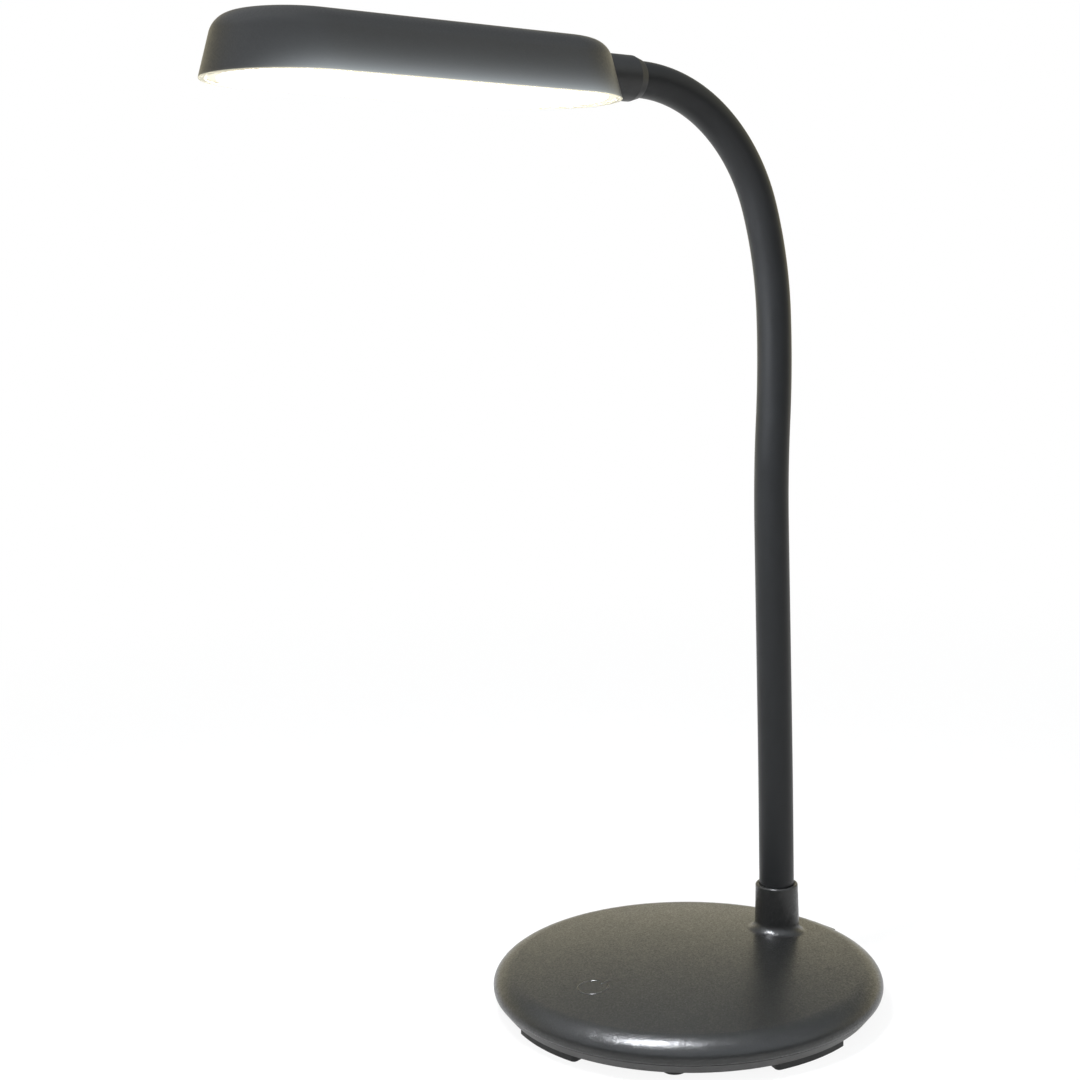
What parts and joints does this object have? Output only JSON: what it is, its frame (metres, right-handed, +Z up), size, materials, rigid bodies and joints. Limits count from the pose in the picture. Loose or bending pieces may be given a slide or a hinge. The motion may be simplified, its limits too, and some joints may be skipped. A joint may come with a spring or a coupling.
{
  "type": "gooseneck desk lamp",
  "caption": "Desk lamp with a domed disc base and touch symbol, a smooth bendable gooseneck and a long round-ended head with an edge-lit diffuser.",
  "frame": {"origin": "centre of the base disc on the table, at the undersides of the feet", "axes": "+Z up, +X from the base's centre towards the neck's foot and the power inlet; the head reaches towards -X over the touch symbol; +Y to the side"},
  "size_m": [0.2672, 0.155, 0.3748],
  "materials": {
    "base_plastic": "satin moulded plastic, olive grey",
    "under_plastic": "fine-textured dark plastic",
    "ballast_steel": "zinc-plated sheet steel",
    "foot_rubber": "soft black rubber",
    "screw_steel": "zinc-plated steel",
    "ferrule_brass": "turned brass",
    "jack_plastic": "black moulded plastic",
    "contact_brass": "plated brass",
    "board_laminate": "white solder mask on laminate",
    "chip_plastic": "black epoxy",
    "lead_plastic": "black insulation",
    "neck_rubber": "smooth matt black sleeve",
    "core_steel": "wound spring steel",
    "head_plastic": "satin moulded plastic, dark grey",
    "clamp_steel": "pressed steel strip",
    "plate_aluminium": "plain sheet",
    "reflector_white": "white film",
    "guide_acrylic": "clear acrylic sheet",
    "led_resin": "phosphor in a white package",
    "diffuser_opal": "opal sheet"
  },
  "bodies": {
    "base": {"base_top_cover": "base_plastic", "neck_collar": "base_plastic", "base_bottom_cover": "under_plastic", "ballast_plate": "ballast_steel", "arc_feet": "foot_rubber", "round_feet": "foot_rubber", "cover_screws": "screw_steel", "ballast_screws": "screw_steel", "neck_base_ferrule": "ferrule_brass", "neck_washer": "screw_steel", "neck_nut": "screw_steel", "dc_jack_housing": "jack_plastic", "dc_jack_pin": "contact_brass", "dc_jack_contact": "contact_brass", "control_board": "board_laminate", "board_chips": "chip_plastic", "board_screws": "screw_steel", "touch_pad": "contact_brass", "touch_lead": "lead_plastic", "jack_lead": "lead_plastic", "neck_sleeve_0": "neck_rubber", "neck_core_0": "core_steel", "neck_lead_0": "lead_plastic"},
    "neck_1": {"neck_sleeve_1": "neck_rubber", "neck_core_1": "core_steel", "neck_lead_1": "lead_plastic"},
    "neck_2": {"neck_sleeve_2": "neck_rubber", "neck_core_2": "core_steel", "neck_lead_2": "lead_plastic"},
    "neck_3": {"neck_sleeve_3": "neck_rubber", "neck_core_3": "core_steel", "neck_lead_3": "lead_plastic"},
    "neck_4": {"neck_sleeve_4": "neck_rubber", "neck_core_4": "core_steel", "neck_lead_4": "lead_plastic"},
    "neck_5": {"neck_sleeve_5": "neck_rubber", "neck_core_5": "core_steel", "neck_lead_5": "lead_plastic"},
    "neck_6": {"neck_sleeve_6": "neck_rubber", "neck_core_6": "core_steel", "neck_lead_6": "lead_plastic"},
    "neck_7": {"neck_sleeve_7": "neck_rubber", "neck_core_7": "core_steel", "neck_lead_7": "lead_plastic"},
    "head": {"neck_sleeve_8": "neck_rubber", "neck_core_8": "core_steel", "neck_lead_8": "lead_plastic", "head_shell": "head_plastic", "head_socket": "head_plastic", "head_ferrule": "ferrule_brass", "neck_clamp": "clamp_steel", "clamp_screws": "screw_steel", "back_plate": "plate_aluminium", "plate_screws": "screw_steel", "led_connector": "jack_plastic", "reflector_sheet": "reflector_white", "light_guide": "guide_acrylic", "led_strips": "board_laminate", "leds": "led_resin", "diffuser": "diffuser_opal"}
  },
  "joints": [
    {"name": "bend_1", "type": "hinge", "parent": "base", "child": "neck_1", "pos_m": [0.04965, 0, 0.062], "axis": [0, -1, 0], "range_deg": [-10, 10]},
    {"name": "sway_2", "type": "hinge", "parent": "neck_1", "child": "neck_2", "pos_m": [0.04947, 0, 0.104], "axis": [1, 0, 0.0087], "range_deg": [-20, 20]},
    {"name": "bend_3", "type": "hinge", "parent": "neck_2", "child": "neck_3", "pos_m": [0.04906, 0, 0.146], "axis": [0, -1, 0], "range_deg": [-20, 20]},
    {"name": "sway_4", "type": "hinge", "parent": "neck_3", "child": "neck_4", "pos_m": [0.04866, 0, 0.188], "axis": [1, 0, 0.0087], "range_deg": [-20, 20]},
    {"name": "bend_5", "type": "hinge", "parent": "neck_4", "child": "neck_5", "pos_m": [0.05002, 0, 0.22996], "axis": [0, -1, 0], "range_deg": [-20, 20]},
    {"name": "sway_6", "type": "hinge", "parent": "neck_5", "child": "neck_6", "pos_m": [0.05082, 0, 0.27193], "axis": [0.9994, 0, 0.0349], "range_deg": [-20, 20]},
    {"name": "bend_7", "type": "hinge", "parent": "neck_6", "child": "neck_7", "pos_m": [0.04369, 0, 0.31319], "axis": [0, -1, 0], "range_deg": [-20, 8]},
    {"name": "sway_8", "type": "hinge", "parent": "neck_7", "child": "head", "pos_m": [0.01984, 0, 0.34695], "axis": [0.6032, 0, 0.7976], "range_deg": [-20, 20]}
  ]
}
